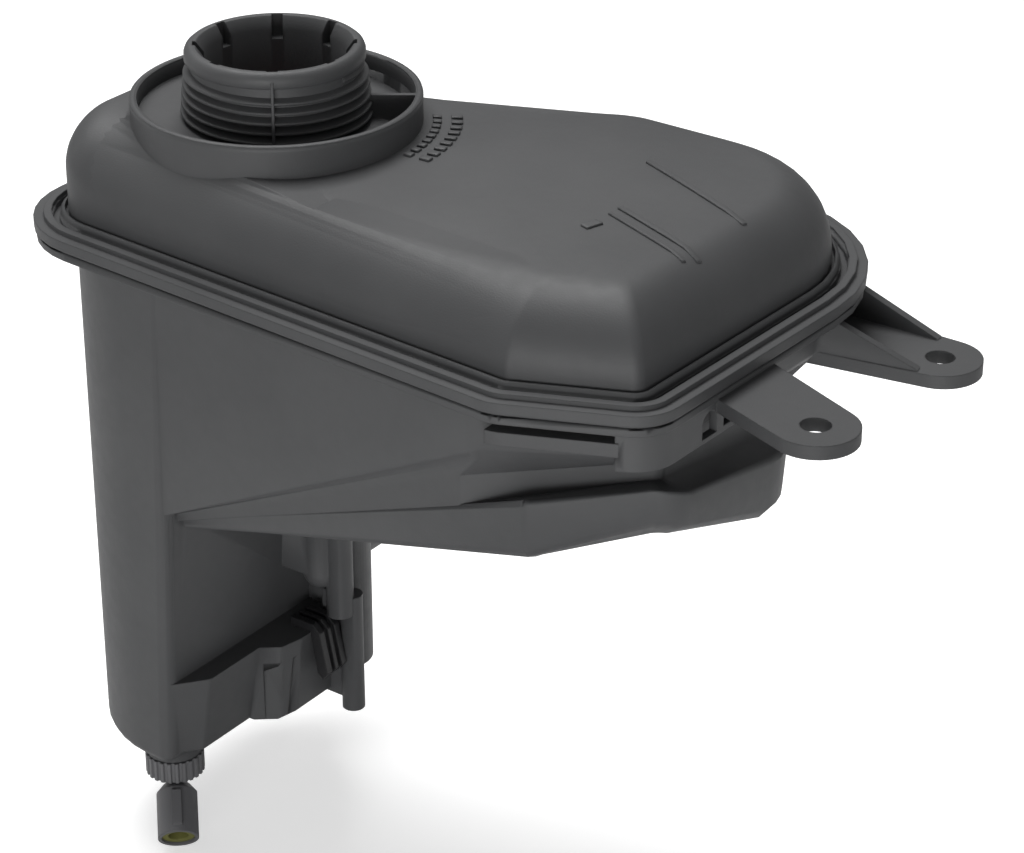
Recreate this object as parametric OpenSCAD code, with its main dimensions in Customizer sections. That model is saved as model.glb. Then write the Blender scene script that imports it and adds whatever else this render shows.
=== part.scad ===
// Coolant expansion tank: two welded plastic half shells with a threaded filler
// neck, an overflow collar, two mounting ears and a plug-in level sensor.
// Millimetres. X runs along the long front side, Y to the rear, Z up.
// The origin is the centre of the filler neck's rim, where the cap seals.

/* [Tank outline] */
// Front side's distance in front of the neck axis at the wide end
front_y = 68.5; // [66:0.5:71]
// Set-back of the front side's line at the neck end
front_skew = 12; // [8:0.5:14]
// Left end's distance from the neck axis
left_x = 61; // [58:0.5:66]
// Right end's distance from the neck axis at its front corner
right_x = 171; // [160:0.5:185]
// Rear side's distance behind the neck axis at the wide end
rear_y = 91; // [86:0.5:95]
// Rear side's distance behind the neck axis at the neck end
neck_rear_y = 55; // [52:0.5:60]
// Radius of the outline at the neck end
end_r = 30; // [26:0.5:36]
// Radius of the outline's wide rear corner
rear_r = 55; // [48:0.5:60]
// Radius of the outline's small corners
corner_r = 14; // [10:0.5:18]

/* [Weld flange] */
// Thickness of each shell's half of the weld flange
flange_t = 3.2; // [2.4:0.1:4]
// Width that the flange stands out from the dome
flange_w = 8; // [6:0.25:9]
// Width of the raised bead on the upper flange
bead_w = 2.4; // [1.5:0.1:3]
// Height of the raised bead above the upper flange
bead_h = 1.4; // [0.8:0.1:2]
// Step of the lower flange behind the upper one at the seam
seam_step = 0.6; // [0.3:0.1:1]

/* [Dome] */
// Wall thickness of both shells
wall = 2.6; // [2:0.1:3.2]
// Height of the dome above the seam at the neck end
dome_h_neck = 33; // [31:0.5:34]
// Height of the dome above the seam at the wide end
dome_h_wide = 27.5; // [25.5:0.5:30]
// Straight part of the dome's side wall
dome_straight = 7; // [6:0.5:10]
// Height of the step round the dome's foot
step_h = 2.2; // [1.6:0.1:2.6]
// Width of that step
step_w = 2.5; // [1.5:0.1:3]

/* [Filler neck and collar] */
// Height of the neck's rim above the seam
neck_h = 53.3; // [50:0.1:58]
// Outer radius of the neck under its thread
neck_r = 24.6; // [24:0.1:25.5]
// Radius of the neck's bore
neck_bore_r = 20.5; // [19:0.1:21]
// Step of the level guide's seat behind the neck's bore
guide_step = 1.2; // [0.8:0.1:1.4]
// Depth of the neck's skirt below the dome
neck_skirt = 12; // [9:0.5:16]
// Number of cap notches in the rim
notch_n = 8; // [4:1:12]
// Width of a cap notch
notch_w = 3.2; // [2:0.1:3.8]
// Depth of a cap notch below the rim
notch_h = 7; // [4:0.5:9]
// Outer radius of the overflow collar
collar_r = 42.3; // [41:0.1:44]
// Height of the collar's rim above the seam
collar_h = 38; // [37:0.1:41]
// Wall of the collar
collar_t = 2; // [1.6:0.1:2.6]

/* [Lower shell] */
// Depth of the leg below the seam
leg_depth = 165; // [155:0.5:178]
// Lean of the lower shell's walls, inward over the leg's depth
draft = 3; // [1:0.25:5]
// Leg's right face beside the neck axis at the foot
leg_x = -3.5; // [-4:0.25:-2]
// Leg's widening toward the body, per millimetre of height
leg_slope = 0.05; // [0.03:0.01:0.08]
// Rear face of the leg behind the neck axis
leg_rear = 44; // [38:0.5:46]
// Radius of the leg's front left corner
leg_r = 38; // [32:0.5:40]
// Depth of the front wall's lower edge at the leg
ridge_z = 83; // [78:0.5:87]
// Rise of that edge toward the right, per millimetre
ridge_rise = 0.525; // [0.5:0.005:0.55]
// Depth of the belly's lowest stretch below the seam
belly_z = 67; // [62:0.5:72]
// Smallest depth of the front wall below the seam
ridge_min = 12; // [9:0.5:15]
// Depth of the belly below that edge
belly_depth = 44; // [38:0.5:47]
// Rise of the belly's bottom at the right front
belly_rise = 27; // [20:0.5:30]

/* [Mounting ears] */
// Radius of the bolt holes
ear_hole_r = 4.2; // [3:0.1:5]
// Radius of the ears' round ends
ear_r = 12; // [10.5:0.1:14]
// Thickness of the ear plates
ear_t = 4; // [3:0.1:5]
// Front hole's distance from the neck axis along the tank
front_ear_x = 195.4; // [191:0.2:199]
// Rear hole's distance from the neck axis along the tank
rear_ear_x = 191; // [187:0.5:199]
// Front hole's distance in front of the neck axis
front_ear_y = 19.7; // [17:0.1:22]
// Rear hole's distance behind the neck axis
rear_ear_y = 55; // [51:0.5:59]
// Top of the front ear below the seam
front_ear_z = 2.6; // [2:0.1:3]
// Top of the rear ear below the seam
rear_ear_z = 14; // [12:0.5:17]

/* [Level sensor] */
// Sensor axis from the neck axis along the tank
sensor_x = -17.5; // [-18.5:0.25:-17]
// Sensor axis from the neck axis across the tank
sensor_y = -39.8; // [-41:0.2:-38]
// Radius of the dry well's bore
well_r = 5.1; // [4.8:0.05:5.4]
// Wall of the dry well
well_t = 1.5; // [1.3:0.1:1.8]
// Height of the well's closed top above the leg's foot
well_h = 52; // [46:0.5:60]
// Running clearance of the stem in the well
stem_gap = 0.2; // [0.1:0.05:0.3]
// Radius of the ribbed bayonet ring
ring_r = 9.2; // [8.8:0.1:10]
// Thickness of the ribbed bayonet ring
ring_h = 7; // [5:0.25:8]
// Number of grip ribs on the ring
ring_ribs = 24; // [16:1:30]
// Depth of the moulded socket under the leg
socket_h = 7.6; // [7:0.1:8.5]
// Radius of the connector's barrel
plug_r = 6.4; // [5.8:0.1:6.8]
// Length of the connector's barrel
plug_l = 17.5; // [14:0.5:20]
// Tilt of the connector below the horizontal
plug_tilt = 34; // [28:1:44]
// Direction of the connector round the sensor axis
plug_turn = -48; // [-60:1:-40]

/* [Floats] */
// Outer radius of the sensor's ring float
float_r = 10.2; // [9.6:0.1:10.6]
// Height of the ring float
float_h = 12; // [9:0.5:14]
// Clearance of the ring float round the well
float_gap = 0.3; // [0.2:0.05:0.5]
// Radius of the level rod
rod_r = 2.6; // [2:0.1:3.2]
// Length of the level rod
rod_l = 46; // [40:0.5:52]
// Radius of the rod's float
rod_float_r = 13; // [10:0.5:15]
// Height of the rod's float
rod_float_h = 20; // [16:0.5:24]

/* [Hose connections] */
// Outer radius of the hose spigot
spigot_r = 10; // [9:0.1:11]
// Bore radius of the hose spigot
spigot_bore_r = 7.4; // [6.5:0.1:8]
// Length of the hose spigot
spigot_l = 24; // [22:0.5:30]
// Outer radius of the vent nipple
vent_r = 4; // [3.5:0.1:4.5]
// Bore radius of the vent nipple
vent_bore_r = 2.2; // [1.8:0.1:2.6]
// Length of the vent nipple
vent_l = 20; // [16:0.5:24]

/* [Hidden] */
$fn = 48;
eps = 0.01;
seat = 0.3;                       // narrow gap between pieces on different bodies
arc_n = 8;                        // steps round each corner of an outer skin
leg_n = 10;                       // and of the leg
leg_proud = 0.15;                 // leg's skin outside the body's, so that it covers it
skin_n = 4;                       // steps round each corner of an inner skin
chamfer_l = 45;                   // corner cut at the right front, along the tank
chamfer_d = 18;                   // and across it
front_inset = 2.5;                // lower shell's walls behind the flange edge
end_inset = 11.5;
rear_inset = 8;
plastic = [0.12, 0.12, 0.125];
// Insets of the waist and of the belly lobe, one for each side of the outline
body_lean = [1, 1, 1, 1, 1, 1, 4];
waist_inset = [8, 15, 8, 69, 60, 54, 20];
lobe_inset = [10, 7, -1, 63, 54, 49, 16];
ridge_x = leg_x - 9.5;            // where the slanting lower edge starts
ledge_z = leg_depth - 29;         // ledge on the leg's right side
boss_z = leg_depth - 47;          // foot of the half-round boss
column_z = ledge_z - 3.6;         // foot of the column over the clip
end_lift = 11;                    // dome's end wall stays upright this much higher
deep_z = dome_h_wide / 2;         // inside the dome, where neck and collar start
web_h = 10.5;                     // skirt beside the front ear, below the flange
web_x = right_x - 15;
window_y = -25;                   // its arched window
window_r = 3.4;
window_z = -8.4;
bar_z = 9.6;                      // foot of the bar under the cut corner
bar_h = 4;
skirt_z = dome_h_neck - wall - neck_skirt;
guide_h = 4;
rod_top = skirt_z + guide_h + 2 + seat + 2;  // rod's top at its lowest level
guide_z = 10.6;                   // depth of the guide's seat
vent_x = -10;
vent_y = neck_rear_y - flange_w - step_w - 1.3;
vent_z = 12;
vent_face = neck_rear_y - flange_w + 0.5;  // flat faces that the hoses stop at
spigot_face = leg_rear + 1;
spigot_x = -24;
spigot_z = 140;
socket_r = ring_r - 0.6;
clip_x = 15.5;
clip_y = 2.4;
clip_w = 9.4;
lug_h = 2.4;
lug_w = 4;
lug_r = 7;
lug_z = -leg_depth - socket_h / 2 - 0.5;
twist = 50;                       // turn of the bayonet from locked to free
magnet_h = 4;
float_z = -leg_depth + wall + seat;
plug_at = 3.4;
plug_floor = 6;
pin_r = 0.5;
lead_r = 0.3;
lead_gap = 2.4;
reed_z = 14;
reed_l = 12;

// Corners of the flange outline: x, y, radius, counter-clockwise from the neck end's front
function tank_corners(front_r, back_r) =
    [[-left_x, front_skew - front_y, front_r],
     [right_x - chamfer_l, -front_y, corner_r],
     [right_x - 4, chamfer_d - front_y, corner_r],
     [right_x, rear_y, rear_r],
     [right_x - 91, rear_y, 40],
     [6, neck_rear_y, 40],
     [-left_x, neck_rear_y, back_r]];
corners = tank_corners(end_r, end_r + 6);
// Shoulder width over each side: front, chamfer, right end, rear, slope, neck rear, left
shoulder = [22.5, 21.5, 18, 16, 12, 12, 8];
lower_inset = [front_inset, 6, 5, rear_inset, rear_inset, rear_inset, end_inset];
lower_r = leg_r + (end_inset + front_inset) / 2;
lower_corners = tank_corners(lower_r, lower_r);
// Front side's line across the tank, at x along it
function front_at(x) = front_skew * (right_x - chamfer_l - x) / (right_x - chamfer_l + left_x) - front_y;

function edge_dir(c, i) = let (p = c[i], q = c[(i + 1) % len(c)]) atan2(q[1] - p[1], q[0] - p[0]);
function meet(p, a, da, b, db) =
    let (ka = -p[0] * sin(a) + p[1] * cos(a) + da,
         kb = -p[0] * sin(b) + p[1] * cos(b) + db,
         det = sin(b - a))
    [(ka * cos(b) - kb * cos(a)) / det, (ka * sin(b) - kb * sin(a)) / det];
// Rounded outline of corners c, each side moved inward by its own distance d; a corner may turn either way
function outline(c, d, n, r_min = 4) =
    [for (i = [0:len(c) - 1])
        let (j = (i + len(c) - 1) % len(c),
             a = edge_dir(c, j),
             turn = (edge_dir(c, i) - a + 900) % 360 - 180,
             way = turn < 0 ? -1 : 1,
             r = way * max(c[i][2] - way * (d[i] + d[j]) / 2, r_min),
             m = meet(c[i], a, d[j] + r, a + turn, d[i] + r))
        for (k = [0:n])
            let (t = a - 90 + turn * k / n)
            [m[0] + r * cos(t), m[1] + r * sin(t)]];
function add(d, x) = [for (v = d) v + x];
function mix(a, b, s) = [for (i = [0:len(a) - 1]) a[i] + (b[i] - a[i]) * s];
function clamp(x, lo, hi) = min(max(x, lo), hi);
function middle(r) = [for (k = [0:2]) [for (p = r) p[k]] * [for (p = r) 1] / len(r)];

// Closed skin through rings of equal length, lowest ring first
module skin(rings) {
    n = len(rings[0]);
    m = len(rings);
    pts = concat([for (r = rings) for (p = r) p], [middle(rings[0]), middle(rings[m - 1])]);
    sides = [for (k = [0:m - 2]) for (i = [0:n - 1])
        let (a = k * n + i, b = k * n + (i + 1) % n)
        for (f = [[a, a + n, b + n], [a, b + n, b]]) f];
    foot = [for (i = [0:n - 1]) [m * n, i, (i + 1) % n]];
    head = [for (i = [0:n - 1]) [m * n + 1, (m - 1) * n + (i + 1) % n, (m - 1) * n + i]];
    polyhedron(points = pts, faces = concat(sides, foot, head), convexity = 8);
}

// ---- dome
function dome_h(x) = dome_h_neck + (dome_h_wide - dome_h_neck) * clamp((x + 45) / 90, 0, 1)
                     - clamp((x - 110) / 60, 0, 1);
function straight(x) = dome_straight + end_lift * clamp((-15 - x) / 25, 0, 1);
function dome_ring(u, dz, di, n) =
    let (foot = flange_w + step_w + di,
         d = mix(add(0 * shoulder, foot), add(shoulder, foot), 1 - cos(u)))
    [for (p = outline(corners, d, n))
        let (h = dome_h(p[0]) - dz, low = straight(p[0]))
        [p[0], p[1], low + (h - low) * sin(u)]];
function foot_ring(z, d, n) = [for (p = outline(corners, add(0 * shoulder, d), n)) [p[0], p[1], z]];
module dome_outer() {
    step_z = flange_t + step_h;
    skin(concat([foot_ring(flange_t / 2, flange_w, arc_n),
                 foot_ring(step_z - 0.8, flange_w, arc_n),
                 foot_ring(step_z, flange_w + 0.8, arc_n),
                 foot_ring(step_z, flange_w + step_w, arc_n)],
                [for (u = [0, 12, 24, 36, 47, 57, 67, 76, 84, 90]) dome_ring(u, 0, 0, arc_n)]));
}
module dome_inner() {
    skin(concat([foot_ring(-1, flange_w + step_w + wall, skin_n)], [for (u = [0, 22, 42, 60, 76, 90])
        dome_ring(u, wall, wall, skin_n)]));
}
module flange_plate(d, h, z) {
    translate([0, 0, z]) linear_extrude(height = h) polygon(outline(corners, d, arc_n));
}

// ---- upper shell
function all_sides(x) = add(0 * shoulder, x);
module bead() {
    difference() {
        flange_plate(all_sides(3), flange_t + bead_h, 0);
        flange_plate(all_sides(3 + bead_w), flange_t + bead_h, flange_t);
        flange_plate(all_sides(3 + bead_w), flange_t + 2, -1);
    }
}
module tube_y(r, l) { rotate([-90, 0, 0]) cylinder(r = r, h = l); }
// Smooth moulded skin, taken as one surface
module moulded() { resize([0, 0, 0]) children(); }
module upper_shell() {
    color(plastic) translate([0, 0, -neck_h]) difference() {
        union() {
            moulded() difference() {
                union() {
                    flange_plate(all_sides(0), flange_t, 0);
                    bead();
                    dome_outer();
                    difference() {
                        translate([0, 0, deep_z]) cylinder(r = collar_r, h = collar_h - deep_z, $fn = 96);
                        translate([0, 0, deep_z - 1]) cylinder(r = collar_r - collar_t, h = collar_h, $fn = 96);
                    }
                    rotate([0, 0, 36]) translate([neck_r - 1, -0.9, deep_z])
                        cube([collar_r - neck_r, 1.8, collar_h - deep_z - 0.6]);
                }
                dome_inner();
            }
            translate([0, 0, dome_h_wide + 0.3]) cylinder(r = neck_r, h = neck_h - dome_h_wide - 0.3);
            translate([0, 0, skirt_z]) cylinder(r = neck_bore_r + guide_step + 2.4, h = neck_h - skirt_z - 1);
            translate([vent_x, vent_y, vent_z]) tube_y(vent_r, vent_l);
            translate([vent_x, vent_y - 0.6, vent_z]) tube_y(vent_r + 2, vent_face - vent_y + 0.6);
        }
        translate([0, 0, skirt_z - 1]) cylinder(r = neck_bore_r, h = neck_h);
        translate([0, 0, skirt_z - 1]) cylinder(r = neck_bore_r + guide_step, h = guide_z + 1);
        for (k = [0:notch_n - 1]) rotate([0, 0, 360 / notch_n * k + 38])
            translate([neck_bore_r - 1, -notch_w / 2, neck_h - notch_h])
                cube([2.6, notch_w, notch_h - 1.6]);
        translate([vent_x, vent_y - 6, vent_z]) tube_y(vent_bore_r, vent_l + 12);
    }
}

// ---- lower shell: body with its slanting lower edge, waist and belly
function ridge(x) = clamp(ridge_z - ridge_rise * (x - ridge_x), ridge_min, ridge_z);
function belly(x, y) = clamp(belly_z - ridge(x), 6, belly_depth)
                      - belly_rise * clamp((x - 119) / 44, 0, 1) * clamp((-y - 5) / 45, 0.15, 1);
function body_ring(f, d, n) = [for (p = outline(lower_corners, d, n))
    [p[0], p[1], -ridge(p[0]) - f * belly(p[0], p[1])]];
function top_ring(z, d, n) = [for (p = outline(lower_corners, d, n)) [p[0], p[1], z]];
module body_outer() {
    skin([body_ring(1, add(lobe_inset, 9), arc_n),
          body_ring(0.95, add(lobe_inset, 4), arc_n),
          body_ring(0.86, add(lobe_inset, 1), arc_n),
          body_ring(0.5, lobe_inset, arc_n),
          body_ring(0.45, add(lobe_inset, 1), arc_n),
          body_ring(0.4, waist_inset, arc_n),
          body_ring(0.2, waist_inset, arc_n),
          body_ring(0.1, lower_inset + 4 * body_lean, arc_n),
          body_ring(0.04, lower_inset + 2 * body_lean, arc_n),
          body_ring(0, lower_inset + body_lean, arc_n),
          top_ring(-flange_t / 2, lower_inset + 0.1 * body_lean, arc_n)]);
}
module body_inner() {
    skin([body_ring(0.84, add(lobe_inset, wall + 6), skin_n),
          body_ring(0.5, add(lobe_inset, wall), skin_n),
          body_ring(0.42, add(waist_inset, wall), skin_n),
          body_ring(0.1, add(waist_inset, wall), skin_n),
          body_ring(-0.04, add(lower_inset, wall + 1), skin_n),
          top_ring(1, add(lower_inset, wall), skin_n)]);
}
// Leg outline at height z, moved inward by d
function leg_ring(z, d, n) =
    let (lean = draft * -z / leg_depth,
         left = -left_x + end_inset - leg_proud,
         front = front_inset - leg_proud,
         right = leg_x + leg_slope * (leg_depth + z))
    [for (p = outline([[left, front_at(left) + front, leg_r],
                       [right, front_at(right) + front, 4],
                       [right, leg_rear - lean, 10],
                       [left, leg_rear - lean, 20]], [d, d, d, d], n, 2))
        [p[0], p[1], z]];
module leg_outer() {
    skin([leg_ring(-leg_depth, 2.5, leg_n), leg_ring(-leg_depth + 0.9, 0.8, leg_n),
          leg_ring(-leg_depth + 2.8, 0, leg_n), leg_ring(-ridge_z, 0, leg_n), leg_ring(-flange_t / 2 - 0.1, 0, leg_n)]);
}
module leg_inner() {
    skin([leg_ring(-leg_depth + wall, wall + 1, arc_n), leg_ring(-leg_depth + wall + 2, wall, arc_n),
          leg_ring(1.5, wall, arc_n)]);
}
// Block under the leg's ledge; its two halves step outward to the rear
function block_a(d) = outline([[-5, -56, 2], [0.5, -56.4, 2], [8.5, -46, 3], [8.5, -13.6, 2], [-5, -13.6, 2]],
                              [d, d, d, d, d], 3, 1);
function block_b(d) = outline([[-5, -24.6, 2], [7.2, -24.6, 2], [14, -19.1, 2], [15.5, -11.6, 2], [15.5, 14.4, 3],
                               [-5, 14.4, 2]], [d, d, d, d, d, d], 3, 1);
function lift(c, z, dx) = [for (p = c) [p[0] + dx, p[1], z]];
module blocks(low, high) {
    skin([lift(block_a(1.5), low, leg_x - 4), lift(block_a(0), low + 1.5, leg_x - 4), lift(block_a(0), high, leg_x)]);
    skin([lift(block_b(1.5), low, leg_x - 2), lift(block_b(0), low + 1.5, leg_x - 2), lift(block_b(0), high, leg_x)]);
}
// Half-round boss, the two columns with their web, and the round lobe behind them
module columns() {
    translate([leg_x + 13.5, 1.7, -boss_z]) {
        cylinder(r = 5.9, h = boss_z - 60);
        sphere(r = 5.9);
        translate([-15.5, -5.8, 0]) cube([15, 11.6, boss_z - 61]);
    }
    translate([leg_x + 19.5, 2.9, -column_z]) cylinder(r = 4.3, h = column_z - 59);
    translate([leg_x + 21, 6.5, -leg_depth - 2.5]) cylinder(r = 3.6, h = leg_depth - ledge_z + 12);
    translate([leg_x + 11, 4.5, -leg_depth + 1]) cube([10, 4, leg_depth - ledge_z + 8]);
    translate([leg_x + 5.5, 19.4, -leg_depth + 5]) cylinder(r = 10.5, h = leg_depth - 65);
}
module ear_plate(hole_x, hole_y, z, root_y0, root_y1, root_x) {
    translate([0, 0, z - ear_t]) linear_extrude(height = ear_t) hull() {
        translate([hole_x, hole_y]) circle(r = ear_r, $fn = 48);
        translate([root_x, root_y0]) square([1, root_y1 - root_y0]);
    }
}
module rib(p, q, t, z0, z1, z2) {
    // Upright rib from p to q, its top at z1 by p and z2 by q
    a = atan2(q[1] - p[1], q[0] - p[0]);
    l = norm([q[0] - p[0], q[1] - p[1]]);
    translate([p[0], p[1], 0]) rotate([90, 0, a]) translate([0, 0, -t / 2])
        linear_extrude(height = t) polygon([[0, z0], [l, z0], [l, z2], [0, z1]]);
}
module bracket_web() {
    // Skirt below the flange beside the front ear, with its arched window and its corner cell
    difference() {
        translate([0, 0, -flange_t - web_h]) linear_extrude(height = web_h + 1) difference() {
            polygon(outline(corners, all_sides(1.2), arc_n));
            polygon(outline(corners, all_sides(3.6), arc_n));
            translate([-100, -100]) square([web_x + 100, 300]);
            translate([right_x - 60, -front_ear_y + 12]) square([120, 200]);
        }
        translate([web_x, window_y, window_z]) rotate([0, 90, 0]) cylinder(r = window_r, h = 30, $fn = 24);
        translate([web_x, window_y - window_r, window_z - 4]) cube([30, 2 * window_r, 4]);
        translate([web_x, window_y + 2.2 * window_r, window_z]) rotate([0, 90, 0])
            linear_extrude(height = 30) polygon([[-3, -1], [3.6, -1], [3.6, 7]]);
    }
}
module corner_bar() {
    // Bar below the flange along the cut corner
    translate([0, 0, -bar_z]) linear_extrude(height = bar_h) difference() {
        polygon(outline(corners, all_sides(0.9), arc_n));
        polygon(outline(corners, all_sides(9), arc_n));
        translate([-100, -100]) square([right_x - chamfer_l + 98, 300]);
        translate([web_x + 1, -100]) square([60, 300]);
        translate([-100, -35]) square([400, 300]);
    }
}
module ears() {
    ear_plate(front_ear_x, -front_ear_y, -front_ear_z, -front_ear_y, -front_ear_y + 27, right_x - 11);
    ear_plate(rear_ear_x, rear_ear_y, -rear_ear_z, rear_ear_y - 20, rear_ear_y + 12, right_x - 26);
    // side ribs of the rear ear's channel
    rib([right_x - 10, rear_ear_y - 16], [rear_ear_x - 1, rear_ear_y - ear_r + 1.5], 2.6,
        -rear_ear_z - 1, -flange_t / 2, -rear_ear_z + 0.5);
    rib([right_x - 20, rear_ear_y + 10], [rear_ear_x - 6, rear_ear_y + ear_r - 2], 2.6,
        -rear_ear_z - 1, -flange_t / 2, -rear_ear_z + 0.5);
    // gusset under the rear ear
    rib([right_x - 16, rear_ear_y - 6], [rear_ear_x - 8, rear_ear_y - 4], 2.6,
        -rear_ear_z - ear_t - 1, -rear_ear_z - 1, -rear_ear_z - 1);
    bracket_web();
    corner_bar();
}
module well() {
    translate([sensor_x, sensor_y, -leg_depth]) cylinder(r = well_r + well_t, h = well_h);
}
module socket_cuts() {
    translate([sensor_x, sensor_y, 0]) {
        translate([0, 0, -leg_depth - socket_h - 1]) cylinder(r = well_r, h = socket_h + 1 + well_h - well_t);
        translate([0, 0, lug_z - 0.3]) cylinder(r = lug_r + 0.3, h = lug_h + 0.6);
        for (a = [0, 180]) rotate([0, 0, a + twist]) translate([0, -lug_w / 2 - 0.4, -leg_depth - socket_h - 1])
            cube([lug_r + 0.3, lug_w + 0.8, lug_z + leg_depth + socket_h + 1.2]);
    }
}
module lower_shell() {
    color(plastic) translate([0, 0, -neck_h]) difference() {
        union() {
            moulded() difference() {
                union() {
                    flange_plate(all_sides(seam_step), flange_t, -flange_t);
                    body_outer();
                    leg_outer();
                    blocks(-leg_depth + 1.2, -ledge_z);
                    columns();
                    ears();
                    translate([sensor_x, sensor_y, -leg_depth - socket_h]) cylinder(r = socket_r, h = socket_h + 2);
                }
                difference() {
                    union() {
                        body_inner();
                        leg_inner();
                    }
                    well();
                }
                for (y = [-22.6, -16.1]) translate([leg_x + 9 + (y + 22.6) / 2, y, -leg_depth - 1])
                    rotate([0, 0, 38]) cube([6, 1.6, 24]);
            }
            translate([spigot_x, leg_rear - 4, -spigot_z]) tube_y(spigot_r, spigot_l + 4);
            translate([spigot_x, leg_rear - 4.7, -spigot_z]) tube_y(spigot_r + 3, spigot_face - leg_rear + 4.7);
        }
        socket_cuts();
        translate([spigot_x, leg_rear - 15, -spigot_z]) tube_y(spigot_bore_r, spigot_l + 30);
        for (p = [[front_ear_x, -front_ear_y], [rear_ear_x, rear_ear_y]])
            translate([p[0], p[1], -rear_ear_z - ear_t - 2]) cylinder(r = ear_hole_r, h = rear_ear_z + ear_t + 4);
    }
}

// ---- level indicator under the neck
module indicator_guide() {
    color([0.2, 0.2, 0.2]) translate([0, 0, -neck_h]) {
        translate([0, 0, skirt_z]) difference() {
            union() {
                difference() {
                    cylinder(r = neck_bore_r + guide_step - 0.05, h = guide_h, $fn = 72);
                    translate([0, 0, -1]) cylinder(r = neck_bore_r - 1, h = guide_h + 2, $fn = 72);
                }
                cylinder(r = rod_r + 2, h = guide_h + 2);
                for (a = [90, 210, 330]) rotate([0, 0, a]) translate([0, -0.9, 0])
                    cube([neck_bore_r + 0.2, 1.8, guide_h - 0.6]);
            }
            translate([0, 0, -1]) cylinder(r = rod_r + 0.1, h = guide_h + 5);
        }
    }
}
module indicator_rod() {
    color([0.75, 0.15, 0.1]) translate([0, 0, -neck_h + rod_top - rod_l]) {
        cylinder(r = rod_r, h = rod_l - 1);
        // head that rests over the guide's bush at the lowest level
        translate([0, 0, rod_l - 2]) cylinder(r = rod_r + 1.4, h = 2);
    }
}
module indicator_float() {
    color([0.85, 0.82, 0.7]) translate([0, 0, -neck_h + rod_top - rod_l - 1.5]) difference() {
        rotate_extrude($fn = 64) polygon([[0, -rod_float_h + 6], [rod_float_r - 2, -rod_float_h + 6],
            [rod_float_r, -rod_float_h + 8], [rod_float_r, 4], [rod_float_r - 2, 6], [0, 6]]);
        translate([0, 0, 1.5]) cylinder(r = rod_r, h = 10);
    }
}

// ---- level sensor and its ring float
module sensor_float() {
    color([0.9, 0.88, 0.8]) translate([sensor_x, sensor_y, -neck_h + float_z]) difference() {
        cylinder(r = float_r, h = float_h);
        translate([0, 0, -1]) cylinder(r = well_r + well_t + float_gap, h = float_h + 2);
        translate([0, 0, float_h - magnet_h]) difference() {
            cylinder(r = float_r - 1, h = magnet_h + 1);
            translate([0, 0, -1]) cylinder(r = well_r + well_t + float_gap + 1, h = magnet_h + 3);
        }
    }
}
module float_magnet() {
    color([0.25, 0.25, 0.27]) translate([sensor_x, sensor_y, -neck_h + float_z + float_h - magnet_h]) difference() {
        cylinder(r = float_r - 1.05, h = magnet_h);
        translate([0, 0, -1]) cylinder(r = well_r + well_t + float_gap + 1.05, h = magnet_h + 2);
    }
}
module float_retainer() {
    color([0.8, 0.8, 0.8]) translate([sensor_x, sensor_y, -neck_h - leg_depth + well_h - 3]) difference() {
        cylinder(r = float_r - 0.8, h = 1.6);
        translate([0, 0, -1]) cylinder(r = well_r + well_t, h = 4);
    }
}
module plug_frame() {
    translate([sensor_x, sensor_y, -neck_h - leg_depth - socket_h - seat - ring_h - 3.2])
        rotate([0, 0, plug_turn]) rotate([0, 90 + plug_tilt, 0]) children();
}
function grip(r, n, h) = [for (k = [0:n - 1]) for (q = [[-0.3, -h], [-0.22, 0], [0.22, 0], [0.3, -h]])
    let (a = 360 / n * (k + q[0])) [(r + q[1]) * cos(a), (r + q[1]) * sin(a)]];
module level_sensor() {
    color([0.24, 0.24, 0.25]) difference() {
        union() {
            translate([sensor_x, sensor_y, -neck_h - leg_depth - socket_h - seat - ring_h]) {
                linear_extrude(height = ring_h) polygon(grip(ring_r, ring_ribs, 0.6));
                translate([0, 0, 1]) cylinder(r = well_r - stem_gap, h = ring_h + seat + socket_h + well_h - well_t - 2.5);
                translate([0, 0, -3.2]) cylinder(r = 3.5, h = 4);
                translate([0, 0, -3.2]) sphere(r = 4);
            }
            translate([sensor_x, sensor_y, -neck_h + lug_z]) translate([-lug_r, -lug_w / 2, 0])
                cube([2 * lug_r, lug_w, lug_h]);
            plug_frame() {
                cylinder(r = 3.2, h = plug_at + 1);
                translate([0, 0, plug_at]) cylinder(r1 = 4.4, r2 = plug_r, h = 2.5);
                translate([0, 0, plug_at + 2.5]) cylinder(r = plug_r, h = plug_l - 2.5);
                translate([-plug_r - 0.9, -1.5, plug_at + 4]) cube([3, 3, plug_l - 6]);
            }
        }
        plug_frame() {
            translate([0, 0, plug_at + plug_floor]) cylinder(r = plug_r - 1.2, h = plug_l);
            for (y = [-2, 2]) translate([0, y, plug_at + plug_floor - 3]) cylinder(r = pin_r, h = 5);
        }
        translate([sensor_x, sensor_y, -neck_h - leg_depth + 4]) cylinder(r = well_r - stem_gap - 1.6, h = well_h - well_t - 9);
        for (x = [0, lead_gap]) translate([sensor_x + x, sensor_y, -neck_h - leg_depth - 1]) cylinder(r = lead_r, h = 6);
    }
}
module reed_switch() {
    color([0.55, 0.75, 0.6]) translate([sensor_x, sensor_y, -neck_h - leg_depth + reed_z]) rotate_extrude($fn = 24)
        polygon([[0, -1.1], [0.6, -0.8], [1.1, 0], [1.1, reed_l], [0.6, reed_l + 0.8], [0, reed_l + 1.1]]);
}
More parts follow.
